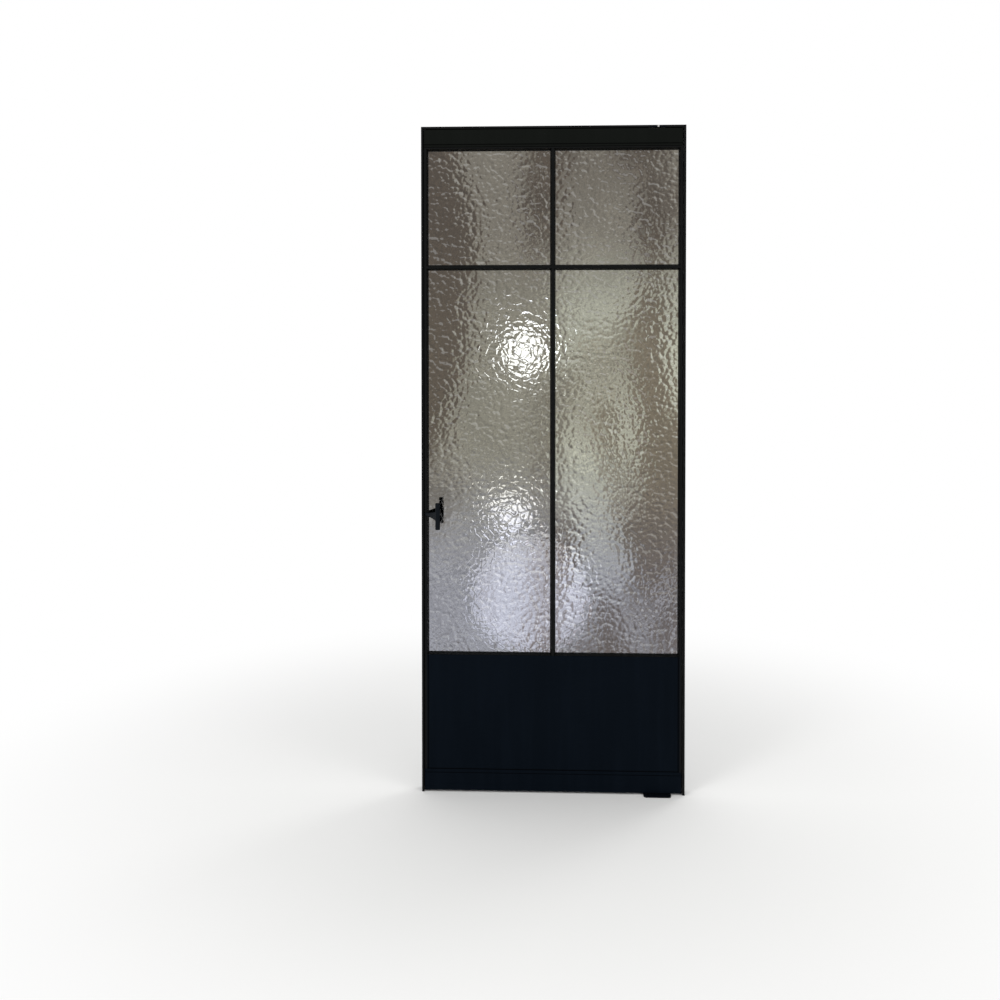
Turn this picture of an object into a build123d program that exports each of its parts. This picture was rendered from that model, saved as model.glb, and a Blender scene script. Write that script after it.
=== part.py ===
from build123d import *
import math
import os

os.makedirs("parts", exist_ok=True)

# Millimetres. X runs to the right, Y to the back, Z up. The origin is on the floor, in the
# middle of the closed door.

# Overall sizes of the frame
overall_width = 985.0
overall_height = 2500.0
section_depth = 50.0
frame_thickness = 8.0
side_gap = 3.5
top_gap = 3.5
floor_gap = 8.0

# Pivot line, measured in from the right outer edge of the frame
pivot_inset = 103.0

# Leaf members
stile_width = 8.0
top_rail_height = 66.0
top_profile_height = 5.0
bottom_rail_height = 79.0
rail_wall = 3.0
kick_height = 433.0
kick_sheet = 2.5
mid_rail_height = 11.0
bar_core = 8.5
upper_opening_height = 437.5
pivot_corner = 3.5
edge_round = 0.6

# Milled lines in the rails and in the kick sheets
line_depth = 1.5
groove_width = 4.0
hairline_width = 2.5
top_groove_rise = 8.5
bottom_hairline_rise = 65.0
kick_groove_inset = 3.0

# Glazing
glass_thickness = 8.0
gasket_thickness = 1.5
gasket_height = 5.0
bead_height = 6.0
bead_nose = 1.0
bead_setback = 1.5
mitre_gap = 0.2
glass_edge_gap = 2.0
block_length = 80.0

# Floor and head pivots
floor_plate_size = (102.0, 98.0)
floor_plate_thickness = 5.0
floor_plate_corner = 12.0
plate_hole_spacing = (76.0, 60.0)
plate_hole_radius = 3.25
floor_pin_radius = 7.0
floor_pin_rise = 22.0
collar_radius = 12.0
collar_height = 2.0
floor_bush_radius = 14.0
floor_bush_height = 14.0
head_plate_width = 61.0
head_hole_spacing = 44.0
head_hole_radius = 2.75
head_pin_radius = 6.0
head_pin_length = 44.0
head_bush_radius = 8.5
cassette_depth = 36.0
flange_thickness = rail_wall
flange_overhang = 18.0
floor_cassette_size = (140.0, 52.0)
head_cassette_size = (96.0, 44.0)
fixing_bar_size = (16.0, 10.0)

# Fits
running_clearance = 0.05
press_clearance = 0.02
thrust_clearance = 0.2
screw_clearance = 0.1

# Seals and screws
seal_width = 4.0
seal_groove_depth = 3.0
latch_seal_proud = 2.5
pivot_seal_proud = 0.4
head_seal_proud = 3.0
seal_clearance = 0.05
frame_screw_radius = 2.0
frame_screw_head = 3.6
frame_screw_length = 24.0
frame_screw_spacing = 28.0
cassette_screw_radius = 2.5
cassette_screw_head = 4.6
cassette_screw_length = 11.0
head_screw_radius = 2.0
head_screw_head = 3.8
head_screw_head_height = 2.8
head_screw_length = 12.0
wall_hole_radius = 3.0
wall_hole_sink = 5.5
wall_hole_count = 4
wall_hole_low = 250.0
wall_hole_below_top = 292.0
wall_hole_offset = 12.0

# Grips
grip_height = 1050.0
grip_inset = 54.0
grip_reach = 54.0
grip_radius = 9.0
grip_length = 99.0
grip_end_round = 1.5
neck_root_inset = 5.0
neck_sections = (
    (-0.25, 6.4, 3.5),
    (0.0, 6.7, 3.6),
    (0.2, 7.9, 3.9),
    (0.4, 9.6, 4.4),
    (0.6, 12.2, 5.2),
    (0.8, 16.5, 6.3),
    (1.0, 22.5, 7.6),
)

# Places that follow from the sizes
half_width = overall_width / 2
half_depth = section_depth / 2
jamb_face = half_width - frame_thickness
jamb_top = overall_height - frame_thickness
leaf_edge = jamb_face - side_gap
leaf_bottom = floor_gap
leaf_top = jamb_top - top_gap
pivot_x = half_width - pivot_inset
stile_face = leaf_edge - stile_width
bottom_rail_top = leaf_bottom + bottom_rail_height
top_rail_bottom = leaf_top - top_rail_height
top_profile_bottom = top_rail_bottom - top_profile_height
kick_top = bottom_rail_top + kick_height
core_half = bar_core / 2
cross_high = top_profile_bottom - upper_opening_height
cross_low = cross_high - bar_core
sheet_back = half_depth - kick_sheet
plate_low = pivot_x - head_plate_width / 2
plate_high = pivot_x + head_plate_width / 2
bead_back = glass_thickness / 2 + gasket_thickness
bead_depth = half_depth - bead_setback - bead_back
bead_slope = math.degrees(math.atan((bead_height - bead_nose) / bead_depth))
wall_hole_pitch = (jamb_top - wall_hole_low - wall_hole_below_top) / (wall_hole_count - 1)
wall_hole_heights = [wall_hole_low + i * wall_hole_pitch for i in range(wall_hole_count)]


def slab(x, y, z, mode=Mode.ADD):
    """Box between two corners, given as a pair of values along each axis."""
    with Locations(((x[0] + x[1]) / 2, (y[0] + y[1]) / 2, (z[0] + z[1]) / 2)):
        Box(x[1] - x[0], y[1] - y[0], z[1] - z[0], mode=mode)


def save(part, label):
    """Name a finished piece and write its file."""
    part.label = label
    export_step(part, f"parts/{label}.step")


def countersunk_screw(radius, head, length):
    """Countersunk screw with its head level with the ground plane and its shank below."""
    with BuildPart() as screw:
        with BuildSketch(Plane.XZ):
            with BuildLine():
                Polyline(
                    (0, 0), (head, 0), (radius, radius - head),
                    (radius, -length), (0, -length), close=True,
                )
            make_face()
        revolve(axis=Axis.Z)
        with BuildSketch(Plane.XY):
            RegularPolygon(radius * 0.8, 6)
        extrude(amount=-radius * 0.9, mode=Mode.SUBTRACT)
    return screw.part


# Jambs: flat bars that stand on the floor, with a seal groove and holes to the wall
def jamb(side):
    """One side of the frame: side is -1 at the left and 1 at the right."""
    outer, inner = side * half_width, side * jamb_face
    low, high = min(outer, inner), max(outer, inner)
    with BuildPart() as bar:
        slab((low, high), (-half_depth, half_depth), (0, jamb_top))
        groove_low, groove_high = sorted((inner, inner + side * seal_groove_depth))
        slab(
            (groove_low, groove_high), (-seal_width / 2, seal_width / 2),
            (0, jamb_top), Mode.SUBTRACT,
        )
        for height in wall_hole_heights:
            mouth = Plane((inner, wall_hole_offset, height), (0, 1, 0), (-side, 0, 0))
            with Locations(mouth):
                CounterSinkHole(wall_hole_radius, wall_hole_sink, frame_thickness, 90)
        for y in (-frame_screw_spacing / 2, frame_screw_spacing / 2):
            with Locations(Plane((side * (half_width - frame_thickness / 2), y, jamb_top))):
                Hole(
                    frame_screw_radius + press_clearance,
                    frame_screw_length - frame_thickness + screw_clearance,
                )
    return bar.part


save(jamb(-1), "left_jamb")
save(jamb(1), "right_jamb")


# Head in two lengths, one on each side of the head plate
def head(low, high, screw_x):
    """One length of the head between two places, screwed down at screw_x."""
    with BuildPart() as bar:
        slab((low, high), (-half_depth, half_depth), (jamb_top, overall_height))
        seal_low, seal_high = max(low, -jamb_face), min(high, jamb_face)
        slab(
            (seal_low, seal_high), (-seal_width / 2, seal_width / 2),
            (jamb_top, jamb_top + seal_groove_depth), Mode.SUBTRACT,
        )
        for y in (-frame_screw_spacing / 2, frame_screw_spacing / 2):
            with Locations(Plane((screw_x, y, overall_height))):
                CounterSinkHole(
                    frame_screw_radius + screw_clearance,
                    frame_screw_head + screw_clearance, frame_thickness, 90,
                )
    return bar.part


screw_x = half_width - frame_thickness / 2
save(head(-half_width, plate_low, -screw_x), "head_long")
save(head(plate_high, half_width, screw_x), "head_short")

with BuildPart() as frame_screws:
    with Locations(*[
        (x, y, overall_height)
        for x in (-screw_x, screw_x)
        for y in (-frame_screw_spacing / 2, frame_screw_spacing / 2)
    ]):
        add(countersunk_screw(frame_screw_radius, frame_screw_head, frame_screw_length))
save(frame_screws.part, "frame_screws")


# Seals: strips pressed into the grooves of the jambs and the head
def side_seal(side, proud):
    """Upright seal strip that stands proud of a jamb."""
    x = sorted((side * (jamb_face + seal_groove_depth), side * (jamb_face - proud)))
    with BuildPart() as strip:
        slab(
            x, (-seal_width / 2 + seal_clearance, seal_width / 2 - seal_clearance),
            (0, jamb_top),
        )
    return strip.part


save(side_seal(-1, latch_seal_proud), "left_seal")
save(side_seal(1, pivot_seal_proud), "right_seal")

with BuildPart() as head_seal:
    for low, high in (
        (-jamb_face + latch_seal_proud + side_gap, plate_low),
        (plate_high, jamb_face - pivot_seal_proud - side_gap),
    ):
        slab(
            (low, high), (-seal_width / 2 + seal_clearance, seal_width / 2 - seal_clearance),
            (jamb_top - head_seal_proud, jamb_top + seal_groove_depth),
        )
save(head_seal.part, "head_seal")

# Head plate with its bush, between the two lengths of the head
with BuildPart() as head_plate:
    slab((plate_low, plate_high), (-half_depth, half_depth), (jamb_top, overall_height))
    with Locations(Plane((pivot_x, 0, overall_height))):
        Hole(head_bush_radius + press_clearance)
    with Locations(*[
        Plane((pivot_x + side * head_hole_spacing / 2, 0, overall_height)) for side in (-1, 1)
    ]):
        Hole(head_hole_radius)
    front = Plane(
        (pivot_x, -half_depth, jamb_top + frame_thickness / 2), (1, 0, 0), (0, -1, 0)
    )
    with Locations(front):
        Hole(head_screw_radius + press_clearance, head_screw_length + screw_clearance)
save(head_plate.part, "head_plate")

with BuildPart() as head_bush:
    with BuildSketch(Plane.XY.offset(jamb_top)):
        with Locations((pivot_x, 0)):
            Circle(head_bush_radius)
            Circle(head_pin_radius + running_clearance, mode=Mode.SUBTRACT)
    extrude(amount=frame_thickness)
save(head_bush.part, "head_bush")

with BuildPart() as head_screw:
    with BuildSketch(front):
        Circle(head_screw_radius)
    extrude(amount=-head_screw_length)
    with BuildSketch(front):
        Circle(head_screw_head)
    extrude(amount=head_screw_head_height)
    rim = head_screw.edges().filter_by(GeomType.CIRCLE).sort_by(Axis.Y)[0]
    fillet(rim, head_screw_head_height * 0.4)
    with BuildSketch(front.offset(head_screw_head_height)):
        RegularPolygon(head_screw_radius * 0.8, 6)
    extrude(amount=-head_screw_head_height * 0.6, mode=Mode.SUBTRACT)
save(head_screw.part, "head_screw")

# Floor plate and the pin that stands on it
with BuildPart() as floor_plate:
    with BuildSketch(Plane.XY):
        with Locations((pivot_x, 0)):
            RectangleRounded(*floor_plate_size, floor_plate_corner)
            Circle(floor_pin_radius + press_clearance, mode=Mode.SUBTRACT)
            with GridLocations(*plate_hole_spacing, 2, 2):
                Circle(plate_hole_radius, mode=Mode.SUBTRACT)
    extrude(amount=floor_plate_thickness)
    outline = floor_plate.faces().sort_by(Axis.Z)[-1].outer_wire().edges()
    chamfer(outline, edge_round)
save(floor_plate.part, "floor_plate")

pin_top = leaf_bottom + floor_pin_rise
with BuildPart() as floor_pin:
    with BuildSketch(Plane.XY):
        with Locations((pivot_x, 0)):
            Circle(floor_pin_radius)
    extrude(amount=pin_top)
    with BuildSketch(Plane.XY.offset(floor_plate_thickness)):
        with Locations((pivot_x, 0)):
            Circle(collar_radius)
    extrude(amount=collar_height)
    chamfer(floor_pin.edges().filter_by(GeomType.CIRCLE).sort_by(Axis.Z)[-1], 1.0)
save(floor_pin.part, "floor_pin")


# Stiles: flat bars between the two rails, rounded where they pass the jambs
def stile(side, corner):
    """Upright edge of the leaf: side is -1 at the left and 1 at the right."""
    with BuildPart() as bar:
        with BuildSketch(Plane.XY.offset(bottom_rail_top)) as section:
            with Locations((side * (leaf_edge - stile_width / 2), 0)):
                Rectangle(stile_width, section_depth)
            columns = section.vertices().group_by(Axis.X)
            outer, inner = (columns[-1], columns[0]) if side > 0 else (columns[0], columns[-1])
            fillet(outer, corner)
            fillet(inner, edge_round)
        extrude(amount=top_rail_bottom - bottom_rail_top)
    return bar.part


save(stile(-1, edge_round), "left_stile")
save(stile(1, pivot_corner), "right_stile")


# Rails: closed tubes over the whole width, with lines milled along both faces
def rail(bottom, height, lines, slot_length, slot_at_top):
    """Hollow rail with milled lines and a slot for a pivot cassette in one wall."""
    with BuildPart() as tube:
        with BuildSketch(Plane.XY.offset(bottom)) as section:
            Rectangle(2 * leaf_edge, section_depth)
            columns = section.vertices().group_by(Axis.X)
            fillet(columns[-1], pivot_corner)
            fillet(columns[0], edge_round)
        extrude(amount=height)
        inner = half_depth - rail_wall
        slab(
            (rail_wall - leaf_edge, leaf_edge - rail_wall), (-inner, inner),
            (bottom + rail_wall, bottom + height - rail_wall), Mode.SUBTRACT,
        )
        wall = bottom + height - rail_wall if slot_at_top else bottom
        slab(
            (pivot_x - slot_length / 2, pivot_x + slot_length / 2),
            (-cassette_depth / 2, cassette_depth / 2), (wall, wall + rail_wall), Mode.SUBTRACT,
        )
        for low, width in lines:
            for side in (-1, 1):
                y = sorted((side * half_depth, side * (half_depth - line_depth)))
                slab((-leaf_edge, leaf_edge), y, (low, low + width), Mode.SUBTRACT)
    return tube.part


top_lines = (
    (top_rail_bottom, hairline_width),
    (top_rail_bottom + top_groove_rise, groove_width),
)
bottom_lines = ((leaf_bottom + bottom_hairline_rise, hairline_width),)
floor_flange = floor_cassette_size[0] + 2 * flange_overhang
head_flange = head_cassette_size[0] + 2 * flange_overhang
save(rail(top_rail_bottom, top_rail_height, top_lines, head_flange, True), "top_rail")
save(rail(leaf_bottom, bottom_rail_height, bottom_lines, floor_flange, False), "bottom_rail")


# Flat bars across the leaf, from stile to stile
def flat_bar(bottom, height, half):
    """Bar across the leaf with softly rounded long edges."""
    with BuildPart() as bar:
        with BuildSketch(Plane.YZ.offset(-stile_face)) as section:
            with Locations((0, bottom + height / 2)):
                Rectangle(2 * half, height)
            fillet(section.vertices(), edge_round)
        extrude(amount=2 * stile_face)
    return bar.part


save(flat_bar(top_profile_bottom, top_profile_height, half_depth), "top_profile")
save(flat_bar(cross_low, bar_core, half_depth), "cross_bar")
save(flat_bar(kick_top - mid_rail_height, mid_rail_height, sheet_back), "mid_rail")


# Upright bars between the panes
def upright_bar(low, high):
    """Bar on the middle of the leaf between two heights."""
    with BuildPart() as bar:
        with BuildSketch(Plane.XY.offset(low)) as section:
            Rectangle(bar_core, section_depth)
            fillet(section.vertices(), edge_round)
        extrude(amount=high - low)
    return bar.part


save(upright_bar(kick_top, cross_low), "lower_bar")
save(upright_bar(cross_high, top_profile_bottom), "upper_bar")

# Kick panel: a sheet on each face, with milled lines, and a board between them
with BuildPart() as kick_front:
    slab((-stile_face, stile_face), (-half_depth, -sheet_back), (bottom_rail_top, kick_top))
    line = (-half_depth, line_depth - half_depth)
    slab(
        (-stile_face, stile_face), line,
        (bottom_rail_top, bottom_rail_top + groove_width), Mode.SUBTRACT,
    )
    for side in (-1, 1):
        edge = side * (stile_face - kick_groove_inset)
        slab(
            sorted((edge, edge - side * groove_width)), line,
            (bottom_rail_top, kick_top), Mode.SUBTRACT,
        )
save(kick_front.part, "kick_front")

with BuildPart() as kick_rear:
    mirror(kick_front.part, about=Plane.XZ)
save(kick_rear.part, "kick_rear")

with BuildPart() as kick_core:
    slab(
        (-stile_face, stile_face), (-sheet_back, sheet_back),
        (bottom_rail_top, kick_top - mid_rail_height),
    )
save(kick_core.part, "kick_core")


# Glazing: one pane in each opening, held between gaskets by sloped beads on both faces
def glass_pane(x, z):
    """Pane inside an opening, clear of its edges."""
    with BuildPart() as pane:
        slab(
            (x[0] + glass_edge_gap, x[1] - glass_edge_gap),
            (-glass_thickness / 2, glass_thickness / 2),
            (z[0] + glass_edge_gap, z[1] - glass_edge_gap),
        )
    return pane.part


def gasket_pair(x, z):
    """Flat gasket on each face of a pane."""
    width, height = x[1] - x[0], z[1] - z[0]
    middle = ((x[0] + x[1]) / 2, (z[0] + z[1]) / 2)
    with BuildPart() as pair:
        for y in (bead_back, -glass_thickness / 2):
            with BuildSketch(Plane.XZ.offset(-y)):
                with Locations(middle):
                    Rectangle(width, height)
                    Rectangle(
                        width - 2 * gasket_height, height - 2 * gasket_height,
                        mode=Mode.SUBTRACT,
                    )
            extrude(amount=gasket_thickness)
    return pair.part


def front_beads(x, z):
    """Four mitred beads on the front of an opening, sloped from the nose to the glass."""
    width, height = x[1] - x[0], z[1] - z[0]
    middle = ((x[0] + x[1]) / 2, (z[0] + z[1]) / 2)
    back = Plane.XZ.offset(bead_back)
    with BuildPart() as beads:
        with BuildSketch(back):
            with Locations(middle):
                Rectangle(width, height)
        extrude(amount=bead_depth)
        with BuildSketch(back):
            with Locations(middle):
                Rectangle(width - 2 * bead_height, height - 2 * bead_height)
        extrude(amount=bead_depth, taper=-bead_slope, mode=Mode.SUBTRACT)
        with BuildSketch(back):
            for across in (0, 1):
                for up in (0, 1):
                    with Locations((x[across], z[up])):
                        turn = 45 if across == up else -45
                        Rectangle(4 * bead_height, mitre_gap, rotation=turn)
        extrude(amount=bead_depth, mode=Mode.SUBTRACT)
    return beads.part


openings = {
    "lower_left": ((-stile_face, -core_half), (kick_top, cross_low)),
    "lower_right": ((core_half, stile_face), (kick_top, cross_low)),
    "upper_left": ((-stile_face, -core_half), (cross_high, top_profile_bottom)),
    "upper_right": ((core_half, stile_face), (cross_high, top_profile_bottom)),
}

for place, (x, z) in openings.items():
    save(glass_pane(x, z), f"glass_{place}")
    save(gasket_pair(x, z), f"gasket_{place}")
    beads = front_beads(x, z)
    save(beads, f"beads_front_{place}")
    with BuildPart() as rear_beads:
        mirror(beads, about=Plane.XZ)
    save(rear_beads.part, f"beads_rear_{place}")

with BuildPart() as setting_blocks:
    for x, z in openings.values():
        for share in (0.25, 0.75):
            middle = x[0] + share * (x[1] - x[0])
            slab(
                (middle - block_length / 2, middle + block_length / 2),
                (-glass_thickness / 2, glass_thickness / 2), (z[0], z[0] + glass_edge_gap),
            )
save(setting_blocks.part, "setting_blocks")

# Cassettes: pivot housings let into the rails, each with a flange that closes the slot
screw_offsets = [
    side * (size[0] + flange_overhang) / 2
    for size in (floor_cassette_size, head_cassette_size)
    for side in (-1, 1)
]
floor_offsets, head_offsets = screw_offsets[:2], screw_offsets[2:]

with BuildPart() as floor_cassette:
    slab(
        (pivot_x - floor_flange / 2, pivot_x + floor_flange / 2),
        (-cassette_depth / 2, cassette_depth / 2), (leaf_bottom, leaf_bottom + flange_thickness),
    )
    slab(
        (pivot_x - floor_cassette_size[0] / 2, pivot_x + floor_cassette_size[0] / 2),
        (-cassette_depth / 2, cassette_depth / 2),
        (leaf_bottom, leaf_bottom + floor_cassette_size[1]),
    )
    mouth = Plane((pivot_x, 0, leaf_bottom), (1, 0, 0), (0, 0, -1))
    with Locations(mouth):
        Hole(floor_bush_radius + press_clearance, floor_bush_height)
        Hole(floor_pin_radius + thrust_clearance, floor_pin_rise + thrust_clearance)
    with Locations(*[
        Plane((pivot_x + x, 0, leaf_bottom), (1, 0, 0), (0, 0, -1)) for x in floor_offsets
    ]):
        CounterSinkHole(
            cassette_screw_radius + screw_clearance,
            cassette_screw_head + screw_clearance, flange_thickness, 90,
        )
save(floor_cassette.part, "floor_cassette")

with BuildPart() as floor_bush:
    with BuildSketch(Plane.XY.offset(leaf_bottom)):
        with Locations((pivot_x, 0)):
            Circle(floor_bush_radius)
            Circle(floor_pin_radius + running_clearance, mode=Mode.SUBTRACT)
    extrude(amount=floor_bush_height)
save(floor_bush.part, "floor_bush")

head_pin_top = overall_height - thrust_clearance * 5
head_pin_bottom = head_pin_top - head_pin_length
with BuildPart() as head_cassette:
    slab(
        (pivot_x - head_flange / 2, pivot_x + head_flange / 2),
        (-cassette_depth / 2, cassette_depth / 2), (leaf_top - flange_thickness, leaf_top),
    )
    slab(
        (pivot_x - head_cassette_size[0] / 2, pivot_x + head_cassette_size[0] / 2),
        (-cassette_depth / 2, cassette_depth / 2), (leaf_top - head_cassette_size[1], leaf_top),
    )
    with Locations(Plane((pivot_x, 0, leaf_top))):
        Hole(head_pin_radius + press_clearance, leaf_top - head_pin_bottom)
    with Locations(*[Plane((pivot_x + x, 0, leaf_top)) for x in head_offsets]):
        CounterSinkHole(
            cassette_screw_radius + screw_clearance,
            cassette_screw_head + screw_clearance, flange_thickness, 90,
        )
save(head_cassette.part, "head_cassette")

with BuildPart() as head_pin:
    with BuildSketch(Plane.XY.offset(head_pin_bottom)):
        with Locations((pivot_x, 0)):
            Circle(head_pin_radius)
    extrude(amount=head_pin_length)
    chamfer(head_pin.edges().filter_by(GeomType.CIRCLE).sort_by(Axis.Z)[-1], 1.0)
save(head_pin.part, "head_pin")

# Bars across the inside of the rails, which the cassette screws go into
rail_inside = half_depth - rail_wall
with BuildPart() as fixing_bars:
    for offsets, mouth_z, inward in (
        (floor_offsets, leaf_bottom, 1), (head_offsets, leaf_top, -1)
    ):
        for offset in offsets:
            near = mouth_z + inward * flange_thickness
            slab(
                (
                    pivot_x + offset - fixing_bar_size[0] / 2,
                    pivot_x + offset + fixing_bar_size[0] / 2,
                ),
                (-rail_inside, rail_inside), sorted((near, near + inward * fixing_bar_size[1])),
            )
            with Locations(Plane((pivot_x + offset, 0, near), (1, 0, 0), (0, 0, -inward))):
                Hole(cassette_screw_radius + press_clearance, fixing_bar_size[1])
save(fixing_bars.part, "fixing_bars")

cassette_screw = countersunk_screw(
    cassette_screw_radius, cassette_screw_head, cassette_screw_length
)
with BuildPart() as cassette_screws:
    with Locations(*[
        Plane((pivot_x + x, 0, leaf_bottom), (1, 0, 0), (0, 0, -1)) for x in floor_offsets
    ]):
        add(cassette_screw)
    with Locations(*[Plane((pivot_x + x, 0, leaf_top)) for x in head_offsets]):
        add(cassette_screw)
save(cassette_screws.part, "cassette_screws")

# Grips: an upright bar on a flared neck, welded to the left stile on each face
root = Vector(neck_root_inset - leaf_edge, -half_depth, grip_height)
bar_axis = Vector(grip_inset - leaf_edge, -half_depth - grip_reach, grip_height)
along = (bar_axis - root).normalized()
neck_length = (bar_axis - root).length

with BuildPart() as front_grip:
    for share, tall, thick in neck_sections:
        station = Plane(root + along * (share * neck_length), (0, 0, 1), along)
        with BuildSketch(station):
            Ellipse(tall, thick)
    loft()
    split(bisect_by=Plane.XZ.offset(half_depth), keep=Keep.TOP)
    with BuildSketch(Plane.XY.offset(grip_height - grip_length / 2)):
        with Locations((bar_axis.X, bar_axis.Y)):
            Circle(grip_radius)
    extrude(amount=grip_length)
    ends = front_grip.edges().filter_by(GeomType.CIRCLE).group_by(Axis.Z)
    fillet(ends[0] + ends[-1], grip_end_round)
save(front_grip.part, "front_grip")

with BuildPart() as rear_grip:
    mirror(front_grip.part, about=Plane.XZ)
save(rear_grip.part, "rear_grip")
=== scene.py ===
import math

import bpy
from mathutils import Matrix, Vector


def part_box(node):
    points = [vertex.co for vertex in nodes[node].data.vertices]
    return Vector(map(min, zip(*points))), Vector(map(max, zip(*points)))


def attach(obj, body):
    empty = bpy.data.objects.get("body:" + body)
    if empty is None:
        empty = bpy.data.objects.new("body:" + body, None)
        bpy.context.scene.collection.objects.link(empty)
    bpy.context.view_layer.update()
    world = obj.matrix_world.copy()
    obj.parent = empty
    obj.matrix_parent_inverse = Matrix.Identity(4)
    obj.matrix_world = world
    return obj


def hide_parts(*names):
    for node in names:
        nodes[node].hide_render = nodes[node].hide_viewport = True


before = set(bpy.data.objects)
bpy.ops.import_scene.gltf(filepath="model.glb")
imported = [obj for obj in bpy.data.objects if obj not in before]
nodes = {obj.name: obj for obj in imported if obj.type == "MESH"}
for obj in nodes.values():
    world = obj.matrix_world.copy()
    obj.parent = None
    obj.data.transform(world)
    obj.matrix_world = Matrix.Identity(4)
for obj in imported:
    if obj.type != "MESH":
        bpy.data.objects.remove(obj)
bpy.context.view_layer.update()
print("frame loaded:", len(nodes), "nodes")

panePlaces = ("lower_left", "lower_right", "upper_left", "upper_right")
facesOfDoor = ("front", "rear")
white = (1.0, 1.0, 1.0)

# Camera, solved from the door's own edges in the photograph; angles in degrees
view = {
    "place": (-0.0462, -4.1169, 1.7059),
    "tiltDown": 1.08,
    "turnLeft": 2.395,
    "roll": 0.029,
    "lens": 39.448,
    "sensor": 36.0,
    "shift": (0.0053, -0.1398),
    "farthest": 60.0,
}

cameraData = bpy.data.cameras.new("doorView")
cameraData.lens = view["lens"]
cameraData.sensor_width = view["sensor"]
cameraData.shift_x, cameraData.shift_y = view["shift"]
cameraData.clip_end = view["farthest"]
cameraObject = bpy.data.objects.new("doorView", cameraData)
bpy.context.collection.objects.link(cameraObject)
cameraObject.location = view["place"]
cameraObject.rotation_euler = (
    math.radians(90.0 - view["tiltDown"]),
    math.radians(view["roll"]),
    math.radians(view["turnLeft"]),
)
bpy.context.scene.camera = cameraObject
bpy.context.scene.view_settings.view_transform = "Standard"
print("camera placed")


def clearSelection():
    if bpy.context.object and bpy.context.object.mode != "OBJECT":
        bpy.ops.object.mode_set(mode="OBJECT")
    bpy.ops.object.select_all(action="DESELECT")


def makeActive(piece):
    clearSelection()
    piece.select_set(True)
    bpy.context.view_layer.objects.active = piece


def applyModifier(piece, modifier):
    makeActive(piece)
    bpy.ops.object.modifier_apply(modifier=modifier.name)


# Shader helpers; a noise is given as scale, detail, roughness and distortion
mixSockets = {"amount": 0, "first": 6, "second": 7, "result": 2}


def newGroup(name, inputs, outputs):
    group = bpy.data.node_groups.new(name, "ShaderNodeTree")
    for label, kind, value in inputs:
        socket = group.interface.new_socket(label, in_out="INPUT", socket_type=kind)
        if value is not None:
            socket.default_value = value
    for label, kind in outputs:
        group.interface.new_socket(label, in_out="OUTPUT", socket_type=kind)
    entry = group.nodes.new("NodeGroupInput")
    leave = group.nodes.new("NodeGroupOutput")
    return group, entry, leave


def noiseNode(tree, point, scale, detail, roughness, distortion=0.0):
    node = tree.nodes.new("ShaderNodeTexNoise")
    tree.links.new(point, node.inputs["Vector"])
    node.inputs["Scale"].default_value = scale
    node.inputs["Detail"].default_value = detail
    node.inputs["Roughness"].default_value = roughness
    node.inputs["Distortion"].default_value = distortion
    return node


def stretchedPoint(tree, point, stretch, shift=(0.0, 0.0, 0.0)):
    mapping = tree.nodes.new("ShaderNodeMapping")
    mapping.inputs["Location"].default_value = shift
    mapping.inputs["Scale"].default_value = stretch
    tree.links.new(point, mapping.inputs["Vector"])
    return mapping.outputs["Vector"]


def mathNode(tree, operation, first, second=None):
    node = tree.nodes.new("ShaderNodeMath")
    node.operation = operation
    for index, value in enumerate((first, second)):
        if isinstance(value, (int, float)):
            node.inputs[index].default_value = value
        elif value is not None:
            tree.links.new(value, node.inputs[index])
    return node.outputs[0]


def rangeNode(tree, value, fromLow, fromHigh, toLow=0.0, toHigh=1.0, smooth=False):
    node = tree.nodes.new("ShaderNodeMapRange")
    if smooth:
        node.interpolation_type = "SMOOTHSTEP"
    tree.links.new(value, node.inputs["Value"])
    node.inputs["From Min"].default_value = fromLow
    node.inputs["From Max"].default_value = fromHigh
    node.inputs["To Min"].default_value = toLow
    node.inputs["To Max"].default_value = toHigh
    return node.outputs[0]


def blendNode(tree, amount, first, second):
    node = tree.nodes.new("ShaderNodeMix")
    node.data_type = "RGBA"
    for side, value in (("first", first), ("second", second)):
        if isinstance(value, tuple):
            node.inputs[mixSockets[side]].default_value = value + (1.0,)
        else:
            tree.links.new(value, node.inputs[mixSockets[side]])
    tree.links.new(amount, node.inputs[mixSockets["amount"]])
    return node.outputs[mixSockets["result"]]


def multiplyNode(tree, colour, level):
    node = tree.nodes.new("ShaderNodeMix")
    node.data_type = "RGBA"
    node.blend_type = "MULTIPLY"
    node.inputs[mixSockets["amount"]].default_value = 1.0
    tree.links.new(colour, node.inputs[mixSockets["first"]])
    tree.links.new(level, node.inputs[mixSockets["second"]])
    return node.outputs[mixSockets["result"]]


def splitPoint(tree, point):
    parts = tree.nodes.new("ShaderNodeSeparateXYZ")
    tree.links.new(point, parts.inputs[0])
    return parts.outputs


def newMaterial(name, metallic=0.0, ior=1.5, specular=0.5):
    material = bpy.data.materials.new(name)
    material.use_nodes = True
    tree = material.node_tree
    tree.nodes.clear()
    output = tree.nodes.new("ShaderNodeOutputMaterial")
    shader = tree.nodes.new("ShaderNodeBsdfPrincipled")
    shader.inputs["Metallic"].default_value = metallic
    shader.inputs["IOR"].default_value = ior
    shader.inputs["Specular IOR Level"].default_value = specular
    tree.links.new(shader.outputs["BSDF"], output.inputs["Surface"])
    return material, tree, shader


def objectPoint(tree):
    return tree.nodes.new("ShaderNodeTexCoord").outputs["Object"]


def bumpInto(tree, shader, height, strength, distance):
    bump = tree.nodes.new("ShaderNodeBump")
    bump.inputs["Strength"].default_value = strength
    bump.inputs["Distance"].default_value = distance
    tree.links.new(height, bump.inputs["Height"])
    tree.links.new(bump.outputs["Normal"], shader.inputs["Normal"])


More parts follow.
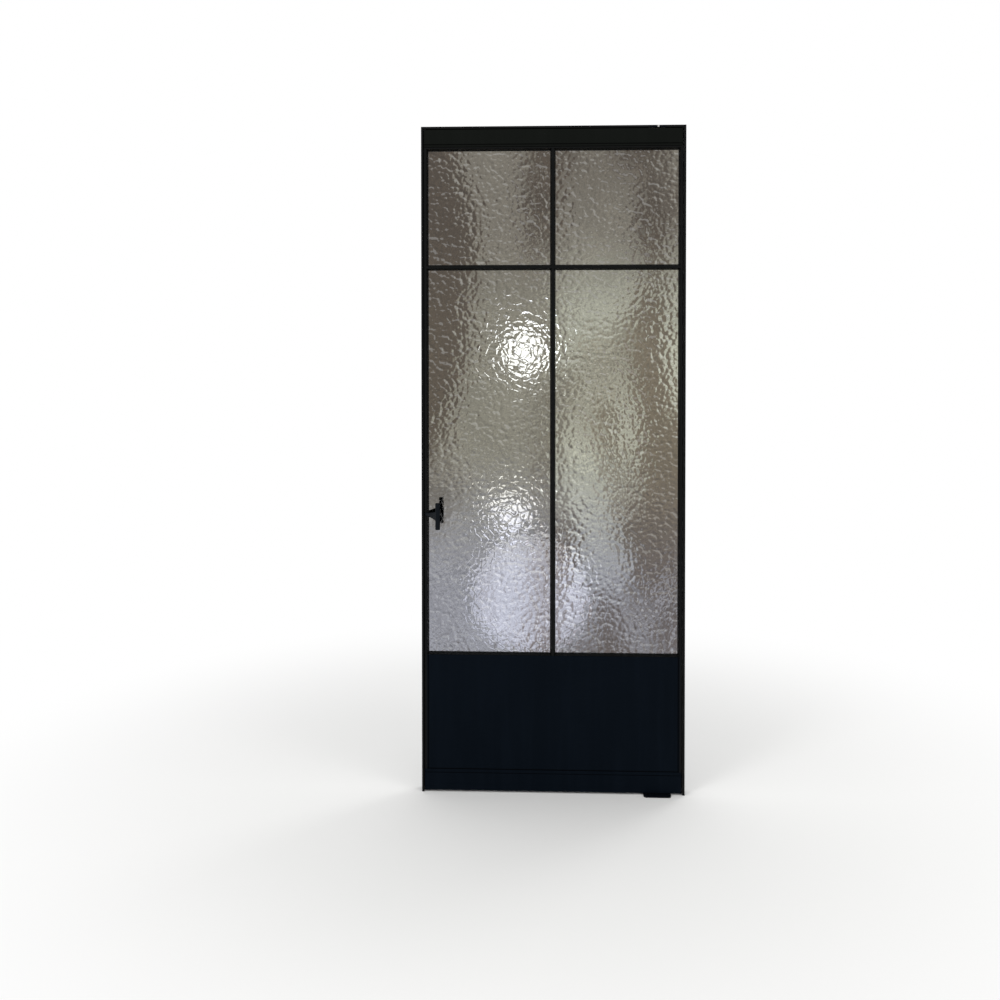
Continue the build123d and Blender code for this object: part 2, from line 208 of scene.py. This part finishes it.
def useGroup(tree, group, values):
    node = tree.nodes.new("ShaderNodeGroup")
    node.node_tree = group
    tree.links.new(objectPoint(tree), node.inputs["Point"])
    for label, value in values.items():
        node.inputs[label].default_value = value
    return node


# Sprayed coat: fine pebbled grain, slow drifts of tone, and faint wiped streaks
coatLook = {
    "grainSize": 0.0012,
    "streaks": 0.5,
    "pebbles": (1.0, 2.0, 0.6),
    "drift": (3.2, 3.0, 0.55, 0.4),
    "driftShare": 0.6,
    "wiped": (1.0, 4.0, 0.6, 0.8),
    "wipedStretch": (26.0, 26.0, 1.6),
    "wipedEdge": (0.42, 0.75),
    "wipedShare": 0.4,
    "grainShare": 0.35,
    "sheenEdge": (0.15, 1.0),
    "bump": (0.35, 0.00012),
}


def buildCoatGrain():
    look = coatLook
    group, entry, leave = newGroup(
        "coatGrain",
        (
            ("Point", "NodeSocketVector", None),
            ("Grain Size", "NodeSocketFloat", look["grainSize"]),
            ("Streaks", "NodeSocketFloat", look["streaks"]),
        ),
        (
            ("Tone", "NodeSocketFloat"),
            ("Sheen Mask", "NodeSocketFloat"),
            ("Height", "NodeSocketFloat"),
        ),
    )
    links = group.links
    point = entry.outputs["Point"]
    pebbles = noiseNode(group, point, *look["pebbles"])
    scale = mathNode(group, "DIVIDE", 1.0, entry.outputs["Grain Size"])
    links.new(scale, pebbles.inputs["Scale"])
    drift = noiseNode(group, point, *look["drift"])
    wiped = noiseNode(group, stretchedPoint(group, point, look["wipedStretch"]), *look["wiped"])
    wipedMask = rangeNode(group, wiped.outputs["Fac"], *look["wipedEdge"], smooth=True)
    streaks = mathNode(group, "MULTIPLY", wipedMask, entry.outputs["Streaks"])
    driftPart = mathNode(group, "MULTIPLY", drift.outputs["Fac"], look["driftShare"])
    wipedPart = mathNode(group, "MULTIPLY", streaks, look["wipedShare"])
    tone = mathNode(group, "ADD", driftPart, wipedPart)
    grainPart = mathNode(group, "MULTIPLY", pebbles.outputs["Fac"], look["grainShare"])
    links.new(tone, leave.inputs["Tone"])
    links.new(mathNode(group, "ADD", tone, grainPart), leave.inputs["Sheen Mask"])
    links.new(pebbles.outputs["Fac"], leave.inputs["Height"])
    return group


coatGrain = buildCoatGrain()

# Painted shade in the milled lines, where less light reaches: two depths from the middle of the
# door, and a share
lineShade = {"from": 0.0237, "to": 0.0247, "share": 0.2}

# Copies of the one black paint of the door, each toned to the light on its part: the top rail's
# copy is darker and greener, painted shade under the frame head; the copy for the bottom rail and
# kick sheets is darker and bluer, painted shade and a bluish cast of light low on the door; the
# beads' copy is a little lighter, painted highlight along the beads. The plates' coat is their own
# black, made darker and bluer as painted shade where they sit
coats = {
    "blackCoat": {
        "dark": (0.0036, 0.0040, 0.0041), "light": (0.0066, 0.0070, 0.0071),
        "sheen": (0.40, 0.56), "specular": 0.055, "grain": 0.0011, "streaks": 0.6,
    },
    "railCoatShaded": {
        "dark": (0.0034, 0.0042, 0.0034), "light": (0.0064, 0.0074, 0.0064),
        "sheen": (0.40, 0.56), "specular": 0.04, "grain": 0.0011, "streaks": 0.6,
        "lines": lineShade,
    },
    "kickCoatShadedBlue": {
        "dark": (0.0010, 0.0026, 0.0050), "light": (0.0028, 0.0052, 0.0092),
        "sheen": (0.38, 0.54), "specular": 0.03, "grain": 0.0013, "streaks": 0.9,
        "lines": lineShade,
    },
    "beadCoatLit": {
        "dark": (0.0042, 0.0046, 0.0045), "light": (0.0074, 0.0079, 0.0077),
        "sheen": (0.38, 0.50), "specular": 0.05, "grain": 0.0009, "streaks": 0.3,
    },
    "gripCoat": {
        "dark": (0.0034, 0.0048, 0.0070), "light": (0.0058, 0.0076, 0.0106),
        "sheen": (0.34, 0.48), "specular": 0.045, "grain": 0.0009, "streaks": 0.5,
    },
    "plateCoatShaded": {
        "dark": (0.0010, 0.0018, 0.0034), "light": (0.0026, 0.0038, 0.0062),
        "sheen": (0.42, 0.6), "specular": 0.04, "grain": 0.0010, "streaks": 0.8,
    },
}


def coatMaterial(name, coat):
    material, tree, shader = newMaterial(name, specular=coat["specular"])
    grain = useGroup(tree, coatGrain, {"Grain Size": coat["grain"], "Streaks": coat["streaks"]})
    colour = blendNode(tree, grain.outputs["Tone"], coat["dark"], coat["light"])
    # Painted shade: nearer to the middle of the door than the first depth, the coat is darkened to
    # the share
    if "lines" in coat:
        lines = coat["lines"]
        depth = mathNode(tree, "ABSOLUTE", splitPoint(tree, objectPoint(tree))["Y"])
        level = rangeNode(tree, depth, lines["from"], lines["to"], lines["share"], 1.0)
        colour = multiplyNode(tree, colour, level)
    tree.links.new(colour, shader.inputs["Base Color"])
    rough = rangeNode(tree, grain.outputs["Sheen Mask"], *coatLook["sheenEdge"], *coat["sheen"])
    tree.links.new(rough, shader.inputs["Roughness"])
    bumpInto(tree, shader, grain.outputs["Height"], *coatLook["bump"])
    return material


# Drawn metal: long fine lines along one axis, with a few darker rubs
drawnLook = {
    "stretch": (60.0, 900.0, 900.0),
    "lines": (1.0, 5.0, 0.65),
    "rubs": (90.0, 3.0, 0.6, 0.5),
    "toneEdge": (0.12, 0.42),
    "bump": (0.2, 0.00005),
}


def buildDrawnLines():
    look = drawnLook
    group, entry, leave = newGroup(
        "drawnLines",
        (
            ("Point", "NodeSocketVector", None),
            ("Stretch", "NodeSocketVector", look["stretch"]),
        ),
        (("Tone", "NodeSocketFloat"), ("Height", "NodeSocketFloat")),
    )
    links = group.links
    mapping = group.nodes.new("ShaderNodeMapping")
    links.new(entry.outputs["Point"], mapping.inputs["Vector"])
    links.new(entry.outputs["Stretch"], mapping.inputs["Scale"])
    lines = noiseNode(group, mapping.outputs["Vector"], *look["lines"])
    rubs = noiseNode(group, entry.outputs["Point"], *look["rubs"])
    both = mathNode(group, "MULTIPLY", lines.outputs["Fac"], rubs.outputs["Fac"])
    links.new(rangeNode(group, both, *look["toneEdge"], smooth=True), leave.inputs["Tone"])
    links.new(lines.outputs["Fac"], leave.inputs["Height"])
    return group


drawnLines = buildDrawnLines()

metals = {
    "brightSteel": {
        "dark": (0.42, 0.42, 0.41), "light": (0.78, 0.77, 0.75),
        "sheen": (0.2, 0.38), "stretch": (120.0, 900.0, 900.0),
    },
    "millSteel": {
        "dark": (0.16, 0.16, 0.165), "light": (0.36, 0.36, 0.365),
        "sheen": (0.32, 0.55), "stretch": (40.0, 700.0, 700.0),
    },
    "bushMetal": {
        "dark": (0.42, 0.30, 0.13), "light": (0.72, 0.56, 0.27),
        "sheen": (0.25, 0.42), "stretch": (500.0, 500.0, 60.0),
    },
}


def metalMaterial(name, metal):
    material, tree, shader = newMaterial(name, metallic=1.0)
    lines = useGroup(tree, drawnLines, {"Stretch": metal["stretch"]})
    colour = blendNode(tree, lines.outputs["Tone"], metal["dark"], metal["light"])
    tree.links.new(colour, shader.inputs["Base Color"])
    smoothest, roughest = metal["sheen"]
    rough = rangeNode(tree, lines.outputs["Tone"], 0.0, 1.0, roughest, smoothest)
    tree.links.new(rough, shader.inputs["Roughness"])
    bumpInto(tree, shader, lines.outputs["Height"], *drawnLook["bump"])
    return material


# Rubber, plastic and board: one speckle for tone, sheen and relief
softLook = {
    "specular": 0.3, "detail": 4.0, "roughness": 0.6, "sheenEdge": (0.2, 0.8), "bumpStrength": 0.3,
}
softStuffs = {
    "sealRubber": {
        "dark": (0.006, 0.006, 0.006), "light": (0.018, 0.018, 0.018),
        "sheen": (0.6, 0.85), "scale": 900.0, "relief": 0.0001,
    },
    "blockPlastic": {
        "dark": (0.02, 0.02, 0.02), "light": (0.045, 0.045, 0.045),
        "sheen": (0.45, 0.6), "scale": 600.0, "relief": 0.0001,
    },
    "coreBoard": {
        "dark": (0.22, 0.16, 0.10), "light": (0.46, 0.36, 0.24),
        "sheen": (0.7, 0.95), "scale": 160.0, "relief": 0.0003,
    },
}


def softMaterial(name, stuff):
    look = softLook
    material, tree, shader = newMaterial(name, specular=look["specular"])
    noise = noiseNode(tree, objectPoint(tree), stuff["scale"], look["detail"], look["roughness"])
    speckle = noise.outputs["Fac"]
    colour = blendNode(tree, speckle, stuff["dark"], stuff["light"])
    tree.links.new(colour, shader.inputs["Base Color"])
    rough = rangeNode(tree, speckle, *look["sheenEdge"], *stuff["sheen"])
    tree.links.new(rough, shader.inputs["Roughness"])
    bumpInto(tree, shader, speckle, look["bumpStrength"], stuff["relief"])
    return material


# Glass: its colour paints the light and shade of a room seen through it: bands darker and warmer
# high up, bluer low down and lighter on the right in the middle, and slow darker drifts and a fine
# mottle, looked up at a point that the slope of the surface moves, so that the cells bend them.
# Narrow grooves run between fine pebbles; flanks that look down get a little painted shade and
# ridges a thin painted highlight. Bands are heights or places across, in metres
glassLook = {
    "ior": 1.5,
    "reach": 1.3,
    "low": (0.295, 0.302, 0.346),
    "middleLeft": (0.228, 0.215, 0.168),
    "middleRight": (0.445, 0.450, 0.360),
    "high": (0.172, 0.155, 0.124),
    "lowBand": (0.7, 1.35),
    "highBand": (1.65, 2.15),
    "sideBand": (-0.06, 0.12),
    "drift": (1.0, 2.0, 0.5, 0.6),
    "driftDark": (0.36, 0.29, 0.24),
    "driftStretch": (3.6, 1.0, 1.2),
    "driftShift": (4.1, 1.1, 2.3),
    "driftEdge": (0.40, 0.58),
    "marble": (1.0, 3.0, 0.5, 0.4),
    "marbleStretch": (21.0, 21.0, 17.0),
    "marbleEdge": (0.3, 0.7),
    "marbleLevels": (0.66, 1.30),
    "sideShare": 0.7,
    "steepShare": 0.5,
    "shade": (-0.020, -0.085),
    "shadeShare": 0.75,
    "bright": (0.86, 0.87, 0.87),
    "glintEdge": (0.045, 0.090),
    "glintShare": 0.14,
    "flatFace": (0.98, 0.99, 0.985),
    "faceFade": 0.001,
    "fine": (320.0, 2.0, 0.5, 0.4),
    "fineEdge": (0.2, 0.8),
    "sheen": (0.0, 0.05),
    "pebbleScale": 34.0,
    "grooveWidth": 0.13,
    "grooveDepth": 0.0003,
}


def buildGlass():
    look = glassLook
    material, tree, shader = newMaterial("rippledGlass", ior=look["ior"])
    links = tree.links
    shader.inputs["Transmission Weight"].default_value = 1.0
    coords = tree.nodes.new("ShaderNodeTexCoord")
    point, normal = coords.outputs["Object"], coords.outputs["Normal"]
    slope = splitPoint(tree, normal)
    moulded = rangeNode(tree, splitPoint(tree, point)["Y"], look["faceFade"], -look["faceFade"])
    bent = tree.nodes.new("ShaderNodeVectorMath")
    bent.operation = "MULTIPLY_ADD"
    links.new(normal, bent.inputs[0])
    bent.inputs[1].default_value = (look["reach"], 0.0, look["reach"])
    links.new(point, bent.inputs[2])
    bentPoint = bent.outputs[0]
    place = splitPoint(tree, bentPoint)

    # Painted light and shade of the room seen through the glass: bands by height and across,
    # darker drifts and a fine mottle
    low = rangeNode(tree, place["Z"], *look["lowBand"], smooth=True)
    high = rangeNode(tree, place["Z"], *look["highBand"], smooth=True)
    side = rangeNode(tree, place["X"], *look["sideBand"], smooth=True)
    middle = blendNode(tree, side, look["middleLeft"], look["middleRight"])
    tone = blendNode(tree, high, blendNode(tree, low, look["low"], middle), look["high"])
    driftPoint = stretchedPoint(tree, bentPoint, look["driftStretch"], look["driftShift"])
    drift = noiseNode(tree, driftPoint, *look["drift"])
    driftMask = rangeNode(tree, drift.outputs["Fac"], *look["driftEdge"], smooth=True)
    driftTint = blendNode(tree, driftMask, look["driftDark"], white)
    marblePoint = stretchedPoint(tree, bentPoint, look["marbleStretch"])
    marble = noiseNode(tree, marblePoint, *look["marble"])
    marbleLevel = rangeNode(
        tree, marble.outputs["Fac"], *look["marbleEdge"], *look["marbleLevels"],
    )
    tone = multiplyNode(tree, multiplyNode(tree, tone, driftTint), marbleLevel)

    # Painted shade on flanks that look down and to the left, and a thin painted highlight on steep
    # flanks that look up and to the right
    sidePart = mathNode(tree, "MULTIPLY", slope["X"], look["sideShare"])
    flank = mathNode(tree, "ADD", slope["Z"], sidePart)
    facing = mathNode(tree, "POWER", mathNode(tree, "ABSOLUTE", slope["Y"]), 2.0)
    steepness = mathNode(tree, "SQRT", mathNode(tree, "SUBTRACT", 1.0, facing))
    steepPart = mathNode(tree, "MULTIPLY", steepness, look["steepShare"])
    glintSlope = mathNode(tree, "ADD", flank, steepPart)
    shadeLevel = rangeNode(tree, flank, *look["shade"], 1.0, look["shadeShare"])
    shaded = multiplyNode(tree, tone, shadeLevel)
    paintedGlintMask = rangeNode(tree, glintSlope, *look["glintEdge"], 0.0, look["glintShare"], smooth=True)
    withPaintedGlints = blendNode(tree, paintedGlintMask, shaded, look["bright"])
    squared = multiplyNode(tree, withPaintedGlints, withPaintedGlints)
    colour = blendNode(tree, moulded, look["flatFace"], squared)
    links.new(colour, shader.inputs["Base Color"])

    fine = noiseNode(tree, point, *look["fine"])
    rough = rangeNode(tree, fine.outputs["Fac"], *look["fineEdge"], *look["sheen"])
    links.new(rough, shader.inputs["Roughness"])
    pebbles = tree.nodes.new("ShaderNodeTexVoronoi")
    pebbles.feature = "DISTANCE_TO_EDGE"
    pebbles.inputs["Scale"].default_value = look["pebbleScale"]
    links.new(point, pebbles.inputs["Vector"])
    groove = rangeNode(tree, pebbles.outputs["Distance"], 0.0, look["grooveWidth"], smooth=True)
    relief = mathNode(tree, "MULTIPLY", groove, moulded)
    bumpInto(tree, shader, relief, 1.0, look["grooveDepth"])
    return material


finishes = {name: coatMaterial(name, coat) for name, coat in coats.items()}
finishes.update({name: metalMaterial(name, metal) for name, metal in metals.items()})
finishes.update({name: softMaterial(name, stuff) for name, stuff in softStuffs.items()})
finishes["rippledGlass"] = buildGlass()
print("materials made")


def paint(piece, material):
    piece.data.materials.clear()
    piece.data.materials.append(material)


# Hidden pieces and plain trim keep their solids and get their finish
plainFinish = {
    "bushMetal": ("head_bush", "floor_bush"),
    "brightSteel": ("floor_pin", "head_pin", "head_screw", "frame_screws", "cassette_screws"),
    "millSteel": ("fixing_bars", "floor_cassette", "head_cassette"),
    "plateCoatShaded": ("floor_plate", "head_plate"),
    "sealRubber": ("left_seal", "right_seal", "head_seal") + tuple(
        f"gasket_{place}" for place in panePlaces
    ),
    "blockPlastic": ("setting_blocks",),
    "coreBoard": ("kick_core",),
    "blackCoat": (
        "left_stile", "right_stile", "top_profile", "cross_bar", "mid_rail", "lower_bar",
        "upper_bar",
    ),
}
for finish, names in plainFinish.items():
    for name in names:
        paint(nodes[name], finishes[finish])
print("plain pieces finished:", sum(len(names) for names in plainFinish.values()))

# Pieces with sharp corners: a copy of the solid with its edges eased
easedEdges = {
    "left_jamb": ("frame", 0.0005, "blackCoat", "black_coat"),
    "right_jamb": ("frame", 0.0005, "blackCoat", "black_coat"),
    "head_long": ("frame", 0.0005, "blackCoat", "black_coat"),
    "head_short": ("frame", 0.0005, "blackCoat", "black_coat"),
    "top_rail": ("leaf", 0.0004, "railCoatShaded", "black_coat"),
    "bottom_rail": ("leaf", 0.0004, "kickCoatShadedBlue", "black_coat"),
    "kick_front": ("leaf", 0.0003, "kickCoatShadedBlue", "black_coat"),
    "kick_rear": ("leaf", 0.0003, "kickCoatShadedBlue", "black_coat"),
}
for place in panePlaces:
    for face in facesOfDoor:
        easedEdges[f"beads_{face}_{place}"] = ("leaf", 0.0003, "beadCoatLit", "black_coat")

# Lengths in metres, angles in degrees
easing = {
    "weld": 0.000004,
    "flatAngle": 0.4,
    "segments": 2,
    "cornerAngle": 35.0,
    "smoothAngle": 32.0,
    "faceWeight": 90,
}


def copySolid(node, name):
    piece = bpy.data.objects.new(name, nodes[node].data.copy())
    bpy.context.collection.objects.link(piece)
    makeActive(piece)
    bpy.ops.object.mode_set(mode="EDIT")
    bpy.ops.mesh.select_all(action="SELECT")
    bpy.ops.mesh.remove_doubles(threshold=easing["weld"])
    bpy.ops.mesh.dissolve_limited(angle_limit=math.radians(easing["flatAngle"]))
    bpy.ops.object.mode_set(mode="OBJECT")
    return piece


def easeEdges(piece, width):
    bevel = piece.modifiers.new("edge", "BEVEL")
    bevel.width = width
    bevel.segments = easing["segments"]
    bevel.limit_method = "ANGLE"
    bevel.angle_limit = math.radians(easing["cornerAngle"])
    bevel.use_clamp_overlap = True
    bevel.miter_outer = "MITER_ARC"
    bevel.harden_normals = False
    applyModifier(piece, bevel)
    makeActive(piece)
    bpy.ops.object.shade_smooth_by_angle(angle=math.radians(easing["smoothAngle"]))
    weigh = piece.modifiers.new("weigh", "WEIGHTED_NORMAL")
    weigh.mode = "FACE_AREA"
    weigh.weight = easing["faceWeight"]
    weigh.keep_sharp = True
    applyModifier(piece, weigh)


for node, (body, width, finish, slotName) in easedEdges.items():
    piece = copySolid(node, f"{node}_eased")
    easeEdges(piece, width)
    paint(piece, finishes[finish])
    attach(piece, body)
    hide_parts(node)
print("edges eased:", len(easedEdges))

# Panes: a grid whose front face is moulded in irregular shallow cells. Cells hold a name, a size
# and a depth, the swell a size and a depth. Round the grip the relief is calmer, so that the far
# grip shows through almost whole
ripple = {
    "step": 0.00275,
    "rim": 0.5,
    "cells": (("cell", 0.0155, 0.00110), ("smallCell", 0.0085, 0.0004)),
    "swell": (0.040, 0.0005),
    "stretch": (1.15, 1.0, 1.0),
    "soften": 1,
    "softenFactor": 0.5,
    "smoothAngle": 60.0,
    "calm": {"x": -0.430, "z": 1.060, "near": 0.055, "far": 0.130, "share": 0.5},
}


def cellTexture(label, size):
    texture = bpy.data.textures.new(label, "VORONOI")
    texture.noise_scale = size
    texture.distance_metric = "DISTANCE_SQUARED"
    texture.weight_1 = 1.0
    texture.noise_intensity = 1.0
    return texture


def swellTexture(size):
    texture = bpy.data.textures.new("swell", "CLOUDS")
    texture.noise_scale = size
    texture.noise_depth = 1
    return texture


# Stretches the cells sideways
cellGuide = bpy.data.objects.new("cellGuide", None)
bpy.context.collection.objects.link(cellGuide)
cellGuide.scale = ripple["stretch"]
bpy.context.view_layer.update()


def paneGrid(low, high, name):
    wide, thick, tall = (high[axis] - low[axis] for axis in range(3))
    clearSelection()
    bpy.ops.mesh.primitive_grid_add(
        x_subdivisions=round(wide / ripple["step"]), y_subdivisions=round(tall / ripple["step"]),
        size=1.0, location=(0, 0, 0),
    )
    pane = bpy.context.object
    pane.name = name
    pane.data.name = name
    pane.rotation_euler = (math.radians(90.0), 0.0, 0.0)
    pane.scale = (wide, tall, 1.0)
    pane.location = ((low[0] + high[0]) / 2, low[1], (low[2] + high[2]) / 2)
    bpy.ops.object.transform_apply(location=True, rotation=True, scale=True)
    bpy.ops.object.mode_set(mode="EDIT")
    bpy.ops.mesh.select_mode(type="EDGE")
    bpy.ops.mesh.select_all(action="DESELECT")
    bpy.ops.mesh.select_non_manifold()
    bpy.ops.mesh.extrude_edges_move(TRANSFORM_OT_translate={"value": (0.0, thick, 0.0)})
    bpy.ops.mesh.edge_face_add()
    bpy.ops.mesh.select_all(action="SELECT")
    bpy.ops.mesh.normals_make_consistent(inside=False)
    bpy.ops.object.mode_set(mode="OBJECT")
    return pane


def weighFace(pane, low, high):
    rim = ripple["step"] * ripple["rim"]
    middle = (low[1] + high[1]) / 2
    inner = [
        point.index for point in pane.data.vertices
        if point.co.y < middle
        and low[0] + rim < point.co.x < high[0] - rim
        and low[2] + rim < point.co.z < high[2] - rim
    ]
    face = pane.vertex_groups.new(name="face")
    face.add(inner, 1.0, "REPLACE")
    calm = ripple["calm"]
    for index in inner:
        point = pane.data.vertices[index].co
        away = math.hypot(point.x - calm["x"], point.z - calm["z"])
        if away < calm["far"]:
            level = max(0.0, (away - calm["near"]) / (calm["far"] - calm["near"]))
            face.add([index], calm["share"] + (1.0 - calm["share"]) * level, "REPLACE")


def mouldPane(node, name):
    low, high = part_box(node)
    pane = paneGrid(low, high, name)
    weighFace(pane, low, high)
    swellSize, swellDepth = ripple["swell"]
    layers = [(cellTexture(label, size), depth) for label, size, depth in ripple["cells"]]
    layers.append((swellTexture(swellSize), swellDepth))
    for texture, depth in layers:
        push = pane.modifiers.new(texture.name, "DISPLACE")
        push.texture = texture
        push.texture_coords = "OBJECT"
        push.texture_coords_object = cellGuide
        push.direction = "Y"
        push.strength = depth
        push.mid_level = 0.0
        push.vertex_group = "face"
        applyModifier(pane, push)
    smooth = pane.modifiers.new("soften", "SMOOTH")
    smooth.factor = ripple["softenFactor"]
    smooth.iterations = ripple["soften"]
    smooth.use_x = smooth.use_z = False
    smooth.vertex_group = "face"
    applyModifier(pane, smooth)
    makeActive(pane)
    bpy.ops.object.shade_smooth_by_angle(angle=math.radians(ripple["smoothAngle"]))
    paint(pane, finishes["rippledGlass"])
    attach(pane, "leaf")
    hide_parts(node)


for place in panePlaces:
    mouldPane(f"glass_{place}", f"rippled_pane_{place}")
bpy.data.objects.remove(cellGuide)
print("panes moulded")

# Grips: the solid remeshed and smoothed, so that bar and neck run into each other. Points nearer
# to the middle of the door than keep stay where they are
grip = {"voxel": 0.0008, "smooth": 9, "smoothFactor": 0.6, "keep": 0.0275}


def blendGrip(node, name):
    piece = copySolid(node, name)
    remesh = piece.modifiers.new("blend", "REMESH")
    remesh.mode = "VOXEL"
    remesh.voxel_size = grip["voxel"]
    applyModifier(piece, remesh)
    free = piece.vertex_groups.new(name="free")
    outer = [point.index for point in piece.data.vertices if abs(point.co.y) > grip["keep"]]
    free.add(outer, 1.0, "REPLACE")
    smooth = piece.modifiers.new("smooth", "SMOOTH")
    smooth.factor = grip["smoothFactor"]
    smooth.iterations = grip["smooth"]
    smooth.vertex_group = "free"
    applyModifier(piece, smooth)
    makeActive(piece)
    bpy.ops.object.shade_smooth()
    paint(piece, finishes["gripCoat"])
    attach(piece, "leaf")
    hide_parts(node)


for face in facesOfDoor:
    blendGrip(f"{face}_grip", f"{face}_grip_blended")
print("grips blended")

# Floor and light; far from the door the floor fades into the white background
studio = {
    "floorSize": 60.0,
    "floorColour": (0.86, 0.86, 0.85),
    "floorSpecular": 0.1,
    "floorRoughness": 0.8,
    "fade": (0.9, 2.6),
    "worldLevel": 0.8,
}


def plainRays(tree):
    rays = tree.nodes.new("ShaderNodeLightPath").outputs
    seen = mathNode(tree, "MAXIMUM", rays["Is Camera Ray"], rays["Is Glossy Ray"])
    return mathNode(tree, "MAXIMUM", seen, rays["Is Transmission Ray"])


def buildFloor():
    material, tree, shader = newMaterial("paleFloor", specular=studio["floorSpecular"])
    shader.inputs["Roughness"].default_value = studio["floorRoughness"]
    shader.inputs["Base Color"].default_value = studio["floorColour"] + (1.0,)
    reach = tree.nodes.new("ShaderNodeVectorMath")
    reach.operation = "LENGTH"
    tree.links.new(objectPoint(tree), reach.inputs[0])
    fade = rangeNode(tree, reach.outputs["Value"], *studio["fade"], smooth=True)
    amount = mathNode(tree, "MULTIPLY", fade, plainRays(tree))
    glow = tree.nodes.new("ShaderNodeEmission")
    mix = tree.nodes.new("ShaderNodeMixShader")
    tree.links.new(amount, mix.inputs[0])
    tree.links.new(shader.outputs["BSDF"], mix.inputs[1])
    tree.links.new(glow.outputs[0], mix.inputs[2])
    tree.links.new(mix.outputs[0], tree.nodes["Material Output"].inputs["Surface"])
    return material


clearSelection()
bpy.ops.mesh.primitive_plane_add(size=studio["floorSize"], location=(0, 0, 0))
floor = bpy.context.object
floor.name = "floor"
paint(floor, buildFloor())

world = bpy.data.worlds.new("studio")
bpy.context.scene.world = world
world.use_nodes = True
worldTree = world.node_tree
worldTree.nodes.clear()
worldOutput = worldTree.nodes.new("ShaderNodeOutputWorld")
sky = worldTree.nodes.new("ShaderNodeBackground")
sky.inputs["Color"].default_value = white + (1.0,)
skyLevel = rangeNode(worldTree, plainRays(worldTree), 0.0, 1.0, studio["worldLevel"], 1.0)
worldTree.links.new(skyLevel, sky.inputs["Strength"])
worldTree.links.new(sky.outputs[0], worldOutput.inputs["Surface"])

# Three studio lamps, and three small ones behind the door that glitter in the moulded glass
lamps = {
    "keyLamp": {"place": (-2.6, -3.4, 3.2), "aim": (0.0, 0.0, 1.2), "size": 1.8, "power": 60.0},
    "fillLamp": {"place": (3.0, -2.6, 2.2), "aim": (0.0, 0.0, 1.1), "size": 2.0, "power": 26.0},
    "rearLamp": {"place": (2.6, 2.6, 3.4), "aim": (0.0, 0.0, 1.2), "size": 1.6, "power": 30.0},
    "smallRearLamp": {
        "place": (-0.1637, 4.17, 1.6271), "aim": (-0.105, 0.0, 1.667), "size": 0.31,
        "power": 1.65, "colour": (0.74, 0.80, 1.0),
    },
    "lowRearLamp": {
        "place": (-0.2676, 4.17, 0.3900), "aim": (-0.16, 0.0, 1.02), "size": 0.28,
        "power": 0.56, "colour": (0.90, 0.92, 1.0),
    },
    "wideRearLamp": {
        "place": (-0.100, 1.5, 0.40), "aim": (-0.086, 0.0, 0.75), "size": 0.60,
        "power": 0.85, "colour": (0.92, 0.93, 1.0),
    },
}
# Larger lamps only light: their discs show neither through the glass nor in its faces
largestShown = 1.0
for label, lamp in lamps.items():
    lampData = bpy.data.lights.new(label, "AREA")
    lampData.shape = "DISK"
    lampData.size = lamp["size"]
    lampData.energy = lamp["power"]
    lampData.color = lamp.get("colour", white)
    lampObject = bpy.data.objects.new(label, lampData)
    bpy.context.collection.objects.link(lampObject)
    lampObject.location = lamp["place"]
    direction = [lamp["aim"][axis] - lamp["place"][axis] for axis in range(3)]
    flat = math.hypot(direction[0], direction[1])
    lampObject.rotation_euler = (
        math.atan2(flat, -direction[2]), 0.0, math.atan2(-direction[0], direction[1]),
    )
    lampObject.visible_camera = False
    lampObject.visible_transmission = lamp["size"] < largestShown
    lampObject.visible_glossy = lamp["size"] < largestShown
print("studio lit")
